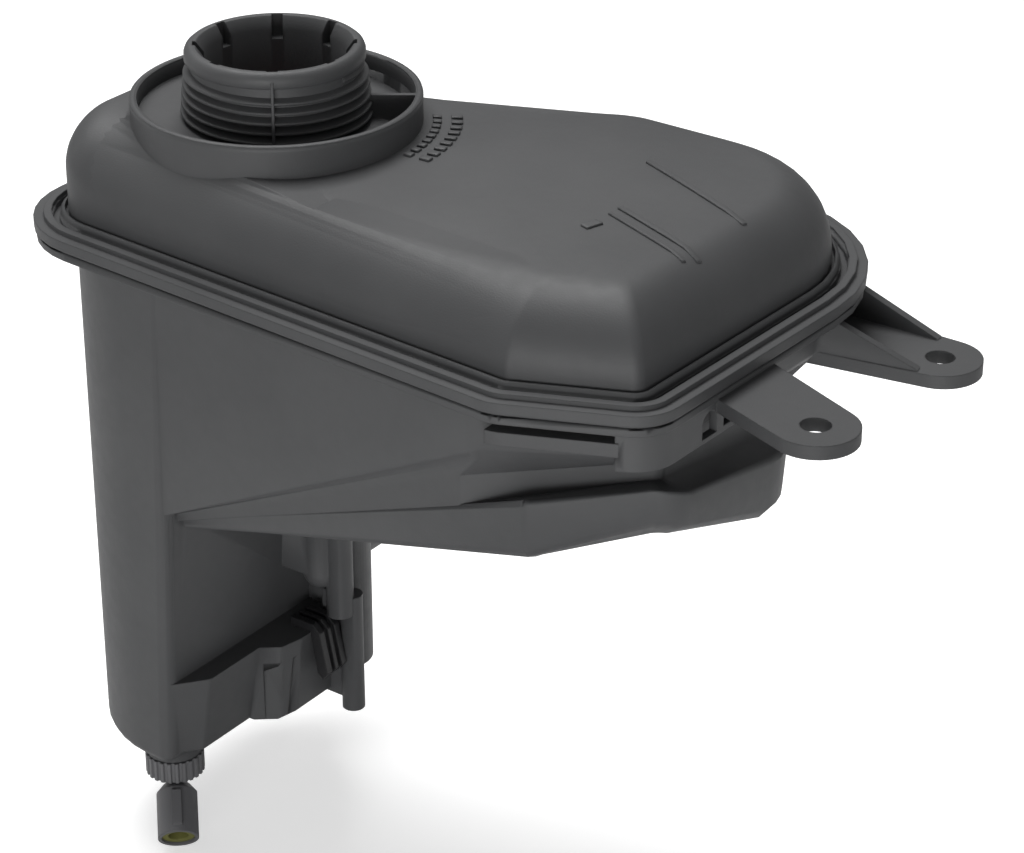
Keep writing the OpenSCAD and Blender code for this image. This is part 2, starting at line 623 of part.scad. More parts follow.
module reed_leads() {
    color([0.75, 0.72, 0.65]) translate([sensor_x, sensor_y, -neck_h - leg_depth]) {
        translate([0, 0, 0]) cylinder(r = lead_r, h = reed_z - 1.1);
        translate([0, 0, reed_z + reed_l + 1.1]) cylinder(r = lead_r, h = 3);
        translate([lead_gap, 0, 0]) cylinder(r = lead_r, h = reed_z + reed_l + 4.1);
        translate([0, 0, reed_z + reed_l + 4.1 - lead_r]) rotate([0, 90, 0]) cylinder(r = lead_r, h = lead_gap);
    }
}
module contact_pin(y) {
    color([0.8, 0.7, 0.45]) plug_frame() translate([0, y, plug_at + plug_floor - 3]) cylinder(r = pin_r, h = 9);
}
module contact_pin_a() { contact_pin(-2); }
module contact_pin_b() { contact_pin(2); }
module connector_seal() {
    color([0.42, 0.44, 0.12]) plug_frame() translate([0, 0, plug_at + plug_l - 5.3]) difference() {
        cylinder(r = plug_r - 1.2, h = 4.5);
        translate([0, 0, -1]) cylinder(r = plug_r - 3.2, h = 7);
    }
}
module cable_clip() {
    color([0.04, 0.04, 0.045]) translate([leg_x, clip_y, -neck_h - ledge_z]) rotate([90, 0, 0]) difference() {
        linear_extrude(height = clip_w) polygon([[clip_x - 8, 0], [clip_x, 0], [clip_x + 2.4, -14],
            [clip_x + 4.4, -15.5], [clip_x + 6.4, -13], [clip_x + 3.6, 0.4], [clip_x + 0.8, 3], [clip_x - 8, 3]]);
        for (k = [1, 2]) translate([0, 0, clip_w * k / 3 - 0.9]) linear_extrude(height = 1.8)
            polygon([[clip_x - 9, 1.8], [clip_x + 0.4, 1.8], [clip_x + 2.4, 0], [clip_x + 5, -14.5],
                     [clip_x + 11, -18], [clip_x + 11, 6], [clip_x - 9, 6]]);
    }
}
lower_shell();
upper_shell();
indicator_guide();
indicator_rod();
indicator_float();
sensor_float();
float_magnet();
float_retainer();
level_sensor();
reed_switch();
reed_leads();
contact_pin_a();
contact_pin_b();
connector_seal();
cable_clip();
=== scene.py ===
# %% [markdown]
# # A coolant expansion tank, moulded in two halves
# The tank is two dark plastic half shells welded along a flange. The upper half carries
# the threaded filler neck inside an overflow collar, the lower half has a deep leg with a
# level sensor plugged in from below, a belly lobe and two bolt ears. The solids come
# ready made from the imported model. This lesson gives them what the eye looks for: soft
# moulded edges, a real thread, a smooth dome, raised marks, satin plastic and studio light.

# %% Load the frame
import math

import bpy
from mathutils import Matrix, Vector


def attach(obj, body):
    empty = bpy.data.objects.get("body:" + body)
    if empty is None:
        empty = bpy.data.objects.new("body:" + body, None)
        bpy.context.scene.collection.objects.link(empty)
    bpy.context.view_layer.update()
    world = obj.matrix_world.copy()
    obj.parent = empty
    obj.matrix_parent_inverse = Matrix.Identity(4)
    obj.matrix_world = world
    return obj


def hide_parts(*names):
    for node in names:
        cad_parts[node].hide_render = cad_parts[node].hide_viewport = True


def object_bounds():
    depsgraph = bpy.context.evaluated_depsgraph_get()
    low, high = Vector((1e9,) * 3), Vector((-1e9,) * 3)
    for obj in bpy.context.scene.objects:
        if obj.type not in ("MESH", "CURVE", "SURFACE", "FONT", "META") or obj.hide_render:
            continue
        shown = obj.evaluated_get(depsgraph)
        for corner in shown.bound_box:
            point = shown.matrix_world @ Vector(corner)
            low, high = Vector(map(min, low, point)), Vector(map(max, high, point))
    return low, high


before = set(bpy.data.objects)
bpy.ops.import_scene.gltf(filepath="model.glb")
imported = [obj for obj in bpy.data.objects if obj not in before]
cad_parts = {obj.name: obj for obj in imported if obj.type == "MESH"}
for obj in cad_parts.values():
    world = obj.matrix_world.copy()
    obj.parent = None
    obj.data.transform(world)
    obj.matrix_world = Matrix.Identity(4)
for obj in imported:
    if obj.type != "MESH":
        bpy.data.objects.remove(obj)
cad_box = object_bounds()
MM = 0.001
print("solids' box in mm:", [round(v * 1000, 1) for corner in cad_box for v in corner])

# %% [markdown]
# ## The camera
# The picture was taken from above, at the front right, with a long lens: the two circles
# of the filler neck are flat ellipses, and upright edges stay nearly upright. Their
# flatness gives the height of the camera, and their size its distance. A long lens from
# far away keeps the shape of a product free of wide-angle stretch.

# %% Camera
bpy.ops.object.camera_add(location=(0.5634, -0.6597, 0.3237),
                          rotation=(math.radians(62.63), 0, math.radians(36)))
camera = bpy.context.object
camera.name = "studio_camera"
camera.data.lens = 112.5
camera.data.sensor_width = 36
bpy.context.scene.camera = camera
print("camera at", [round(v, 3) for v in camera.location])

# %% [markdown]
# ## Small helpers
# An operator acts on everything that is selected, so each step starts from a clean
# selection. The solids arrive as loose triangles, so a copy of one is merged by distance
# and its flat faces are joined before it is shaded. Shading is smooth where faces meet at
# a shallow angle and sharp elsewhere, and large faces are given the most say in it.

# %% Helpers
def alone(piece):
    bpy.ops.object.select_all(action="DESELECT")
    piece.select_set(True)
    bpy.context.view_layer.objects.active = piece


def merged_copy(node, name):
    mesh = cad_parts[node].data.copy()
    piece = bpy.data.objects.new(name, mesh)
    bpy.context.scene.collection.objects.link(piece)
    alone(piece)
    bpy.ops.object.mode_set(mode="EDIT")
    bpy.ops.mesh.select_all(action="SELECT")
    bpy.ops.mesh.remove_doubles(threshold=0.000004)
    bpy.ops.mesh.dissolve_limited(angle_limit=math.radians(0.4))
    bpy.ops.object.mode_set(mode="OBJECT")
    return piece


# %% Modifiers and shading
def apply_all(piece):
    alone(piece)
    for modifier in list(piece.modifiers):
        bpy.ops.object.modifier_apply(modifier=modifier.name)


def smooth(piece, degrees):
    alone(piece)
    bpy.ops.object.shade_smooth_by_angle(angle=math.radians(degrees))


def even_shading(piece, degrees):
    smooth(piece, degrees)
    weigh = piece.modifiers.new("weigh", "WEIGHTED_NORMAL")
    weigh.mode = "FACE_AREA"
    weigh.weight = 80
    weigh.keep_sharp = True
    apply_all(piece)


def settle(piece):
    alone(piece)
    bpy.ops.object.transform_apply(location=True, rotation=True, scale=True)


# %% [markdown]
# ## Helpers that make pieces
# A turned piece starts as a circle primitive, whose corners are moved onto the outline of
# one side. The Screw modifier then sweeps that outline round the neck's axis. Blocks and
# cylinders are mostly tools: the Boolean modifier cuts them away from a piece.

# %% Turned pieces
def drawn_outline(name, outline, lift=0):
    bpy.ops.object.select_all(action="DESELECT")
    bpy.ops.mesh.primitive_circle_add(vertices=len(outline), radius=1,
                                      fill_type="NOTHING", location=(0, 0, 0))
    piece = bpy.context.object
    piece.name = name
    for corner, (radius, height) in zip(piece.data.vertices, outline):
        corner.co = (radius * MM, 0, (height + lift) * MM)
    return piece


def lathe(name, outline):
    piece = drawn_outline(name, outline)
    spin = piece.modifiers.new("full_turn", "SCREW")
    spin.angle = math.radians(360)
    spin.steps = spin.render_steps = 128
    spin.use_merge_vertices = True
    spin.merge_threshold = 0.000001
    apply_all(piece)
    face_outward(piece)
    return piece


def face_outward(piece):
    alone(piece)
    bpy.ops.object.mode_set(mode="EDIT")
    bpy.ops.mesh.select_all(action="SELECT")
    bpy.ops.mesh.normals_make_consistent(inside=False)
    bpy.ops.object.mode_set(mode="OBJECT")


# %% Blocks, cylinders and cuts
def cut_away(piece, tools):
    for tool in tools:
        cutter = piece.modifiers.new("cut", "BOOLEAN")
        cutter.operation = "DIFFERENCE"
        cutter.solver = "EXACT"
        cutter.object = tool
    apply_all(piece)
    for tool in tools:
        bpy.data.objects.remove(tool)


def cylinder(radius, depth, height, sides=96):
    bpy.ops.object.select_all(action="DESELECT")
    bpy.ops.mesh.primitive_cylinder_add(vertices=sides, radius=radius * MM, depth=depth * MM,
                                        location=(0, 0, height * MM))
    piece = bpy.context.object
    settle(piece)
    return piece


def block(name, size, place, turn=0):
    bpy.ops.object.select_all(action="DESELECT")
    bpy.ops.mesh.primitive_cube_add(size=1, location=(0, 0, 0))
    piece = bpy.context.object
    piece.name = name
    piece.scale = [v * MM for v in size]
    settle(piece)
    piece.location = [v * MM for v in place]
    settle(piece)
    piece.rotation_euler = (0, 0, math.radians(turn))
    settle(piece)
    return piece


# %% Material and body of a finished piece
def dress(piece, material, body):
    piece.data.materials.clear()
    piece.data.materials.append(material)
    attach(piece, body)
    print(piece.name, "has", sum(len(p.vertices) - 2 for p in piece.data.polygons), "triangles")


# %% [markdown]
# ## Moulded plastic
# The tank is nylon, moulded dark grey all the way through. Its skin is satin: the mould was
# lightly eroded, so a fine grain breaks up every highlight, and the wall sinks and swells
# by a hair over larger distances. Both are bump here, because real displacement at that
# size would need millions of faces. Colour and gloss drift slightly where the melt flowed.
# A Bevel node turns the normals near a sharp corner, so that every edge catches light.

# %% Plastic finishes
def moulded_plastic(name, dark, light, rough, grain, wave):
    material = bpy.data.materials.new(name)
    material.use_nodes = True
    nodes, links = material.node_tree.nodes, material.node_tree.links
    shader = nodes["Principled BSDF"]
    shader.inputs["Specular IOR Level"].default_value = 0.4
    place = nodes.new("ShaderNodeTexCoord")
    flow = nodes.new("ShaderNodeTexNoise")
    flow.inputs["Scale"].default_value = 14
    flow.inputs["Detail"].default_value = 4
    links.new(place.outputs["Object"], flow.inputs["Vector"])
    tint = nodes.new("ShaderNodeValToRGB")
    tint.color_ramp.elements[0].position = 0.35
    tint.color_ramp.elements[0].color = (*dark, 1)
    tint.color_ramp.elements[1].position = 0.7
    tint.color_ramp.elements[1].color = (*light, 1)
    links.new(flow.outputs["Fac"], tint.inputs["Fac"])
    links.new(tint.outputs["Color"], shader.inputs["Base Color"])
    speck = nodes.new("ShaderNodeTexNoise")
    speck.inputs["Scale"].default_value = 260
    speck.inputs["Detail"].default_value = 3
    links.new(place.outputs["Object"], speck.inputs["Vector"])
    gloss = nodes.new("ShaderNodeMapRange")
    gloss.inputs["To Min"].default_value = rough - 0.06
    gloss.inputs["To Max"].default_value = rough + 0.08
    links.new(speck.outputs["Fac"], gloss.inputs["Value"])
    links.new(gloss.outputs["Result"], shader.inputs["Roughness"])
    pores = nodes.new("ShaderNodeTexNoise")
    pores.inputs["Scale"].default_value = 1900
    pores.inputs["Detail"].default_value = 2
    links.new(place.outputs["Object"], pores.inputs["Vector"])
    fine = nodes.new("ShaderNodeBump")
    fine.inputs["Strength"].default_value = grain
    fine.inputs["Distance"].default_value = 0.00012
    links.new(pores.outputs["Fac"], fine.inputs["Height"])
    swell = nodes.new("ShaderNodeTexNoise")
    swell.inputs["Scale"].default_value = 38
    swell.inputs["Detail"].default_value = 1
    links.new(place.outputs["Object"], swell.inputs["Vector"])
    broad = nodes.new("ShaderNodeBump")
    broad.inputs["Strength"].default_value = wave
    broad.inputs["Distance"].default_value = 0.0012
    links.new(swell.outputs["Fac"], broad.inputs["Height"])
    links.new(fine.outputs["Normal"], broad.inputs["Normal"])
    soft = nodes.new("ShaderNodeBevel")
    soft.samples = 3
    soft.inputs["Radius"].default_value = 0.0006
    links.new(soft.outputs["Normal"], fine.inputs["Normal"])
    links.new(broad.outputs["Normal"], shader.inputs["Normal"])
    return material


tank_finish = moulded_plastic("tank_plastic", (0.050, 0.051, 0.053), (0.064, 0.065, 0.067), 0.52, 0.35, 0.25)
clip_finish = moulded_plastic("clip_plastic", (0.012, 0.012, 0.013), (0.018, 0.018, 0.019), 0.38, 0.2, 0.1)
sensor_finish = moulded_plastic("sensor_plastic", (0.10, 0.10, 0.105), (0.13, 0.13, 0.135), 0.45, 0.25, 0.1)
inner_finish = moulded_plastic("inner_plastic", (0.045, 0.045, 0.047), (0.06, 0.06, 0.062), 0.5, 0.2, 0.1)
float_finish = moulded_plastic("float_plastic", (0.62, 0.60, 0.50), (0.70, 0.68, 0.58), 0.5, 0.2, 0.1)
rod_finish = moulded_plastic("rod_plastic", (0.45, 0.03, 0.02), (0.52, 0.04, 0.03), 0.4, 0.15, 0.1)
seal_finish = moulded_plastic("seal_rubber", (0.13, 0.13, 0.035), (0.18, 0.175, 0.05), 0.6, 0.3, 0.1)
print("plastics:", len(bpy.data.materials))

# %% [markdown]
# ## The two shells
# A welded tank has no sharp edges: the mould's corners are worked to a small radius, and
# those radii are what catch the light along every rim. The solids keep sharp corners and
# long facets, to stay simple. Copies of them are dressed here, and cut where a finer piece
# takes over.

# %% Shells
shells = {node: merged_copy(node, node + "_moulded") for node in ("upper_shell", "lower_shell")}
for shell in shells.values():
    print(shell.name, len(shell.data.vertices), "corners")

# %% [markdown]
# ## The filler neck
# The solid neck is a plain tube. The real rim is thinner than the tube, with a wide chamfer
# that leads the cap's plug in, eight slots for the cap's catches, and a plain swollen band
# above the thread. So the plain neck is cut off the copy of the upper shell, and a new one
# is turned from its outline with the Screw modifier, then slotted with eight small blocks.

# %% Neck tube
ROOT_RADIUS = 24.75
SLOT_COUNT, FIRST_SLOT = 8, 38
cut_away(shells["upper_shell"], [cylinder(ROOT_RADIUS, 24, -7.5)])
NECK = [(20.5, -19.6), (20.5, -3.4), (22.5, -0.5), (22.8, -0.12), (23.2, -0.02), (24.4, -0.02), (24.8, -0.15),
        (25.7, -0.9), (26.15, -2.0), (26.2, -4.0), (25.9, -4.5), (24.8, -4.7), (24.6, -4.9), (24.6, -19.6)]
neck = lathe("neck_tube", NECK)
slots = [block("slot", (3.4, 3.2, 8.0), (21.9, 0, -2.6), FIRST_SLOT + 360 / SLOT_COUNT * k)
         for k in range(SLOT_COUNT)]
cut_away(neck, slots)
smooth(neck, 35)
dress(neck, tank_finish, "tank")

# %% [markdown]
# ## The cap's thread
# A coarse thread runs six turns round the neck, below the plain band. It could be a bump
# map, but its crests show in the outline. So the outline of one tooth is drawn, and the
# Screw modifier sweeps it round and down. A thin upright rib crosses the thread at the
# front, where the two halves of the neck's mould met.

# %% Thread
PITCH = 2.9
TURNS = 6
START = -4.9
TOOTH = [(24.3, -2.75), (24.3, 0.05), (24.7, -0.15), (26.5, -1.0), (26.5, -1.55), (24.7, -2.6)]
thread = drawn_outline("neck_thread", TOOTH, START)
sweep = thread.modifiers.new("turns", "SCREW")
sweep.angle = math.radians(360)
sweep.iterations = TURNS
sweep.screw_offset = -PITCH * MM
sweep.steps = sweep.render_steps = 96
sweep.use_normal_calculate = True
apply_all(thread)
print("thread corners:", len(thread.data.vertices))

# %% Thread crest grows downward and runs out at both ends
CREST_BASE = 24.4
CREST_GROWTH = 0.85
for corner in thread.data.vertices:
    radius = math.hypot(corner.co.x, corner.co.y) / MM
    down = min(max((START - corner.co.z / MM) / (PITCH * (TURNS + 1)), 0), 1)
    if radius > CREST_BASE + 0.1:
        ends = min(1, 0.15 + 5 * down, 0.15 + 5 * (1 - down))
        grown = CREST_BASE + (radius - CREST_BASE) * (1 + CREST_GROWTH * down) * ends
        corner.co.x *= grown / radius
        corner.co.y *= grown / radius
alone(thread)
bpy.ops.object.mode_set(mode="EDIT")
bpy.ops.mesh.select_all(action="DESELECT")
bpy.ops.mesh.select_non_manifold()
bpy.ops.mesh.edge_face_add()
bpy.ops.object.mode_set(mode="OBJECT")
face_outward(thread)
smooth(thread, 22)
dress(thread, tank_finish, "tank")

# %% Parting line on the neck
PARTING_TURN = -52
LEAN = 1.5 * MM
seam = block("neck_parting_line", (2.2, 0.9, 19.5), (25.6, 0, -12.0), PARTING_TURN)
for corner in seam.data.vertices:
    if corner.co.z < -12 * MM:
        corner.co.x += LEAN * math.cos(math.radians(PARTING_TURN))
        corner.co.y += LEAN * math.sin(math.radians(PARTING_TURN))
soft = seam.modifiers.new("soft", "BEVEL")
soft.width = 0.25 * MM
soft.segments = 2
apply_all(seam)
smooth(seam, 40)
dress(seam, tank_finish, "tank")

# %% [markdown]
# ## The overflow collar
# The collar catches what spills while the tank is filled. Its floor slopes with the dome
# and its rim is rounded over. The solid's floor and wall are crossed by many thin
# triangles, so a smooth floor and a turned wall lie over them by a fraction of a
# millimetre. The wall reaches lower at the front and the rear, where the dome falls away.

# %% Collar floor
SEAM = 53.3
DOME_HIGH, DOME_FALL, FALL_START, FALL_END = 33, 5.5, -45, 45
FLOOR_OUTLINE = [(24.0, -0.6), (40.6, -0.6), (40.6, 0.0), (40.2, 0.35),
                 (39.6, 0.2), (25.6, 0.2), (25.0, 0.4), (24.0, 1.0)]


def fall(x):
    return DOME_FALL * (x - FALL_START) / (FALL_END - FALL_START)


floor_ring = lathe("collar_floor", FLOOR_OUTLINE)
for corner in floor_ring.data.vertices:
    corner.co.z += (DOME_HIGH + 0.2 - SEAM - fall(corner.co.x / MM)) * MM
smooth(floor_ring, 40)
dress(floor_ring, tank_finish, "tank")

# %% Collar wall and rim
RIM_OUTLINE = [(40.15, -19.0), (40.15, -16.0), (40.5, -15.35), (41.0, -15.05), (41.6, -15.05), (42.15, -15.35),
               (42.5, -16.0), (42.5, -16.8), (42.4, -17.6), (42.4, -26.0), (41.9, -26.0)]
REACH = 7 / 42
rim = lathe("collar_rim", RIM_OUTLINE)
for corner in rim.data.vertices:
    if corner.co.z < -25 * MM:
        corner.co.z -= REACH * abs(corner.co.y)
smooth(rim, 50)
dress(rim, tank_finish, "tank")

# %% [markdown]
# ## The dome's skin
# The dome is one continuous moulded surface, and the eye finds every facet in its highlight.
# The solid keeps few, long facets. So a finer skin of the same shape lies over it: a grid
# primitive is wrapped round the tank's outline, row by row up the shoulder, then closed
# over the top in shrinking rows. The outline is the solid's own, a rounded polygon whose
# sides each move inward by their own distance.

# %% Outline of the tank
FRONT, SKEW, LEFT, RIGHT, REAR, NECK_REAR = 68.5, 12, 61, 171, 91, 55
CORNERS = [(-LEFT, SKEW - FRONT, 30), (RIGHT - 45, -FRONT, 14), (RIGHT - 4, 18 - FRONT, 14), (RIGHT, REAR, 55),
           (RIGHT - 91, REAR, 40), (6, NECK_REAR, 40), (-LEFT, NECK_REAR, 36)]
SIDES = len(CORNERS)


def side_turn(i):
    (x0, y0, _), (x1, y1, _) = CORNERS[i], CORNERS[(i + 1) % SIDES]
    return math.atan2(y1 - y0, x1 - x0)


# %% Outline with each side moved inward by its own inset
def inset_outline(insets, steps=12, along=10):
    arcs = []
    for i, (x, y, radius) in enumerate(CORNERS):
        before = side_turn(i - 1)
        turn = (side_turn(i) - before + 5 * math.pi) % (2 * math.pi) - math.pi
        way = -1 if turn < 0 else 1
        r = way * max(radius - way * (insets[i] + insets[i - 1]) / 2, 4)
        after = before + turn
        lift_a = -x * math.sin(before) + y * math.cos(before) + insets[i - 1] + r
        lift_b = -x * math.sin(after) + y * math.cos(after) + insets[i] + r
        cross = math.sin(turn)
        cx = (lift_a * math.cos(after) - lift_b * math.cos(before)) / cross
        cy = (lift_a * math.sin(after) - lift_b * math.sin(before)) / cross
        arcs.append([(cx + r * math.cos(before - math.pi / 2 + turn * k / steps),
                      cy + r * math.sin(before - math.pi / 2 + turn * k / steps)) for k in range(steps + 1)])
    points = []
    for arc, following in zip(arcs, arcs[1:] + arcs[:1]):
        (x0, y0), (x1, y1) = arc[-1], following[0]
        points += arc
        points += [(x0 + (x1 - x0) * k / along, y0 + (y1 - y0) * k / along) for k in range(1, along)]
    return points


print("outline points:", len(inset_outline([0] * SIDES)))

# %% Wrapped grid
def wrapped(name, rows):
    bpy.ops.object.select_all(action="DESELECT")
    bpy.ops.mesh.primitive_grid_add(x_subdivisions=len(rows[0]), y_subdivisions=len(rows) - 1,
                                    size=1, location=(0, 0, 0))
    piece = bpy.context.object
    piece.name = name
    places = [point for row in rows for point in row + row[:1]]
    for corner, (x, y, z) in zip(piece.data.vertices, places):
        corner.co = (x * MM, y * MM, z * MM)
    alone(piece)
    bpy.ops.object.mode_set(mode="EDIT")
    bpy.ops.mesh.select_all(action="SELECT")
    bpy.ops.mesh.remove_doubles(threshold=0.000002)
    bpy.ops.mesh.normals_make_consistent(inside=False)
    bpy.ops.object.mode_set(mode="OBJECT")
    return piece


# %% Heights of the dome
SHOULDER = [22.5, 21.5, 18, 16, 12, 12, 8]
DOME_INSET = 10.5
PROUD = 0.12


def slide(x, start, end):
    return min(max((x - start) / (end - start), 0), 1)


def dome_height(x):
    return DOME_HIGH - DOME_FALL * slide(x, FALL_START, FALL_END) - slide(x, 110, 170)


def dome_row(degrees):
    rise = math.sin(math.radians(degrees))
    swing = 1 - math.cos(math.radians(degrees))
    row = []
    for x, y in inset_outline([DOME_INSET - PROUD + wide * swing for wide in SHOULDER]):
        foot = 7 + 11 * slide(-x, 15, 40)
        row.append((x, y, foot + (dome_height(x) + PROUD - foot) * rise - SEAM))
    return row


print("dome rises to", dome_height(FALL_START), "mm above the seam")

# %% [markdown]
# ## Room for the skin
# The solid's top is closed with a few large triangles, and some of their edges stand above
# the true surface. Two flat tools, one sloped like the dome, trim the shell's copy down to
# just below the skin, all round the collar.

# %% Trim of the solid's crown
crowns = [block("crown", (94, 130, 12), (0, 0, DOME_HIGH + 6.1 - SEAM)),
          block("crown", (134, 180, 12), (111, 10, DOME_HIGH + 0.7 - SEAM))]
for corner in crowns[0].data.vertices:
    corner.co.z -= fall(corner.co.x / MM) * MM
for crown in crowns:
    cut_away(crown, [cylinder(42.35, 60, -20)])
cut_away(shells["upper_shell"], crowns)
print("trimmed:", shells["upper_shell"].name)

# %% Rows of the skin
FOOT_HEIGHT = 5.2
CROWN_RISE = 1.2
SHRINK = (0.93, 0.84, 0.72, 0.58, 0.43, 0.28, 0.14, 0.02)
rows = [[(x, y, FOOT_HEIGHT - SEAM) for x, y in inset_outline([DOME_INSET - PROUD] * SIDES)]]
rows += [dome_row(6 * k) for k in range(16)]
shoulder_top = rows[-1]
cx, cy = (sum(point[k] for point in shoulder_top) / len(shoulder_top) for k in (0, 1))
for part in SHRINK:
    row = []
    for x, y, _ in shoulder_top:
        x, y = cx + (x - cx) * part, cy + (y - cy) * part
        row.append((x, y, dome_height(x) + 0.15 + CROWN_RISE * (1 - part ** 2) - SEAM))
    rows.append(row)
dome = wrapped("dome_skin", rows)
print("rows:", len(rows))

# %% [markdown]
# ## Closing the skin
# The last row is a small ring, and its corners are merged into one. Solidify then gives
# the skin a thin wall inward, so that it is a closed body, and a cylinder opens it where
# the collar stands, so that the neck stays open.

# %% Pole, wall and opening
alone(dome)
bpy.ops.object.mode_set(mode="EDIT")
bpy.ops.mesh.select_all(action="DESELECT")
bpy.ops.object.mode_set(mode="OBJECT")
for corner in dome.data.vertices:
    corner.select = math.hypot(corner.co.x - cx * MM, corner.co.y - cy * MM) < 2.2 * MM
bpy.ops.object.mode_set(mode="EDIT")
bpy.ops.mesh.merge(type="CENTER")
bpy.ops.object.mode_set(mode="OBJECT")
wall = dome.modifiers.new("wall", "SOLIDIFY")
wall.thickness = 0.3 * MM
wall.offset = -1
apply_all(dome)
cut_away(dome, [cylinder(41.2, 60, -20, 128)])
smooth(dome, 60)
dress(dome, tank_finish, "tank")

# %% [markdown]
# ## Raised marks
# Plain raised bars stand on the dome, and a toothed arc beside the collar, as marks cut
# into the mould come out proud on the part. Each bar starts as a cube, is subdivided and
# laid down on the dome's skin corner by corner with a ray, so that it follows the crown.

# %% Laying a mark on the dome
def lay_on_dome(piece, lift, cuts):
    alone(piece)
    bpy.ops.object.mode_set(mode="EDIT")
    bpy.ops.mesh.select_all(action="SELECT")
    bpy.ops.mesh.subdivide(number_cuts=cuts)
    bpy.ops.object.mode_set(mode="OBJECT")
    for corner in piece.data.vertices:
        _, spot, _, _ = dome.ray_cast((corner.co.x, corner.co.y, 0.05), (0, 0, -1))
        corner.co.z = spot.z + (lift if corner.co.z > 0 else -0.3) * MM
    alone(piece)
    bpy.ops.object.mode_set(mode="EDIT")
    bpy.ops.mesh.select_all(action="SELECT")
    bpy.ops.mesh.remove_doubles(threshold=0.00001)
    bpy.ops.mesh.normals_make_consistent(inside=False)
    bpy.ops.object.mode_set(mode="OBJECT")


def mark(long, width, place, turn, lift, cuts):
    piece = block("dome_mark", (long, width, 1), place, turn)
    lay_on_dome(piece, lift, cuts)
    return piece


# %% Raised marks
BARS = [((103.4, 38.7), (146.2, 22.0), 1.8), ((114.9, 7.7), (148.2, -3.5), 1.8),
        ((114.9, 2.9), (146.0, -7.6), 1.4), ((114.5, -9.0), (116.0, -3.5), 3.0)]
BAR_LIFT, TOOTH_LIFT = 0.6, 0.7
FIRST_TOOTH, TOOTH_STEP = 3, 4.6
marks = []
for (x0, y0), (x1, y1), width in BARS:
    turn = math.atan2(y1 - y0, x1 - x0)
    x, y = (x0 + x1) / 2, (y0 + y1) / 2
    start = (x * math.cos(turn) + y * math.sin(turn), y * math.cos(turn) - x * math.sin(turn), 0)
    marks.append(mark(math.hypot(x1 - x0, y1 - y0), width, start, math.degrees(turn), BAR_LIFT, 5))
for k in range(9):
    for radius, long in ((46.4, 2.6), (52.2, 3.4)):
        marks.append(mark(long, 2.4, (radius, 0, 0), FIRST_TOOTH + TOOTH_STEP * k, TOOTH_LIFT, 1))
print("marks:", len(marks))

# %% Marks joined, with softened edges
alone(marks[0])
for piece in marks:
    piece.select_set(True)
bpy.ops.object.join()
dome_marks = marks[0]
dome_marks.name = "dome_marks"
soft = dome_marks.modifiers.new("soft", "BEVEL")
soft.width = 0.25 * MM
soft.segments = 2
soft.limit_method = "ANGLE"
soft.angle_limit = math.radians(40)
apply_all(dome_marks)
smooth(dome_marks, 40)
dress(dome_marks, tank_finish, "tank")

# %% [markdown]
# ## The weld line and the flange's grooves
# The two halves meet in a thin dark groove round the flange's edge, and two more grooves
# run round its top: one inside the bead, one at the dome's foot. Each is cut out of a
# shell's copy with a closed ring that keeps the tank's outline.

# %% Flange grooves
def groove(node, outer, inner, low, high):
    corners = ((outer, high), (outer, low), (inner, low), (inner, high), (outer, high))
    ring = [[(x, y, z - SEAM) for x, y in inset_outline([inset] * SIDES, steps=10, along=2)]
            for inset, z in corners]
    cut_away(shells[node], [wrapped("groove", ring)])
    print("groove in", node, "at", round((low + high) / 2, 2), "mm")


groove("lower_shell", -1.0, 2.4, -1.2, -0.45)
groove("upper_shell", 5.7, 7.7, 1.4, 6.0)
groove("upper_shell", 9.3, 10.3, 3.4, 8.0)

# %% [markdown]
# ## The shells' finish
# With the neck cut off and the grooves cut in, the two copies are shaded smooth across the
# facets of their big curves, and stand for the solids that they were copied from.

# %% Finish of the shells
for node, shell in shells.items():
    even_shading(shell, 33)
    dress(shell, tank_finish, "tank")
    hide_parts(node)

# %% [markdown]
# ## Metal, magnet and glass
# Inside the sensor a glass switch closes its leads when the float's magnet comes near. The
# metals are drawn or rolled, so fine streaks run along them: a noise that is stretched
# along the height drives roughness and bump. The glass keeps a faint greenish tint.

# %% Metal and glass finishes
def worked_metal(name, dark, light, rough, metallic):
    material = bpy.data.materials.new(name)
    material.use_nodes = True
    nodes, links = material.node_tree.nodes, material.node_tree.links
    shader = nodes["Principled BSDF"]
    shader.inputs["Metallic"].default_value = metallic
    place = nodes.new("ShaderNodeTexCoord")
    stretch = nodes.new("ShaderNodeMapping")
    stretch.inputs["Scale"].default_value = (1, 1, 0.15)
    links.new(place.outputs["Object"], stretch.inputs["Vector"])
    streak = nodes.new("ShaderNodeTexNoise")
    streak.inputs["Scale"].default_value = 1400
    links.new(stretch.outputs["Vector"], streak.inputs["Vector"])
    tint = nodes.new("ShaderNodeValToRGB")
    tint.color_ramp.elements[0].color = (*dark, 1)
    tint.color_ramp.elements[1].color = (*light, 1)
    links.new(streak.outputs["Fac"], tint.inputs["Fac"])
    links.new(tint.outputs["Color"], shader.inputs["Base Color"])
    gloss = nodes.new("ShaderNodeMapRange")
    gloss.inputs["To Min"].default_value = rough - 0.08
    gloss.inputs["To Max"].default_value = rough + 0.08
    links.new(streak.outputs["Fac"], gloss.inputs["Value"])
    links.new(gloss.outputs["Result"], shader.inputs["Roughness"])
    fine = nodes.new("ShaderNodeBump")
    fine.inputs["Strength"].default_value = 0.15
    fine.inputs["Distance"].default_value = 0.00005
    links.new(streak.outputs["Fac"], fine.inputs["Height"])
    links.new(fine.outputs["Normal"], shader.inputs["Normal"])
    return material


